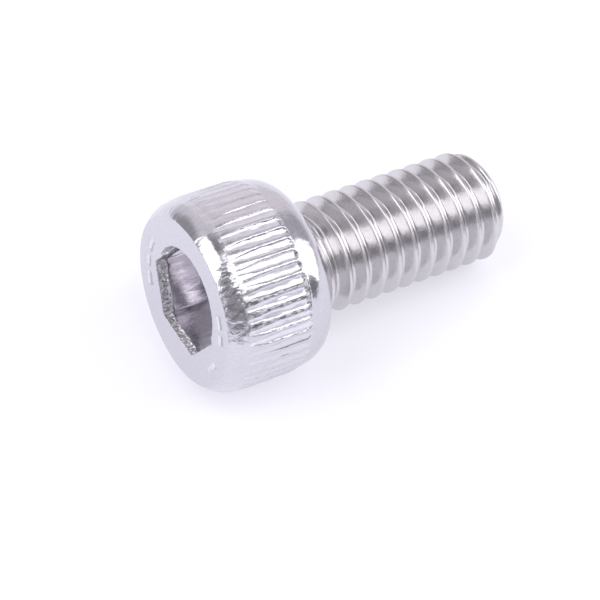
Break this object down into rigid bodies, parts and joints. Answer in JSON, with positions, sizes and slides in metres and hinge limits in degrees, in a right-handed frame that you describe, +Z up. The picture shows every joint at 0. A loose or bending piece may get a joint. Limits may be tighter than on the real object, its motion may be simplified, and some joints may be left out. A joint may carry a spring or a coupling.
{
  "type": "socket head cap screw",
  "caption": "Machine screw with a knurled cylindrical head, a hexagon socket in its flat end and a fully threaded shank with a chamfered tip, lying on its side.",
  "frame": {"origin": "on the floor below the middle of the lying screw's length", "axes": "+Z up; +X from the head towards the tip, with the screw's own axis sloping down by about 9.1 degrees in the XZ plane; +Y across the screw"},
  "size_m": [0.0188, 0.0102, 0.0105],
  "materials": {
    "steel": "bright and smooth, lightly satin on the flat end"
  },
  "bodies": {
    "root": {"cap_screw": "steel"}
  },
  "joints": []
}
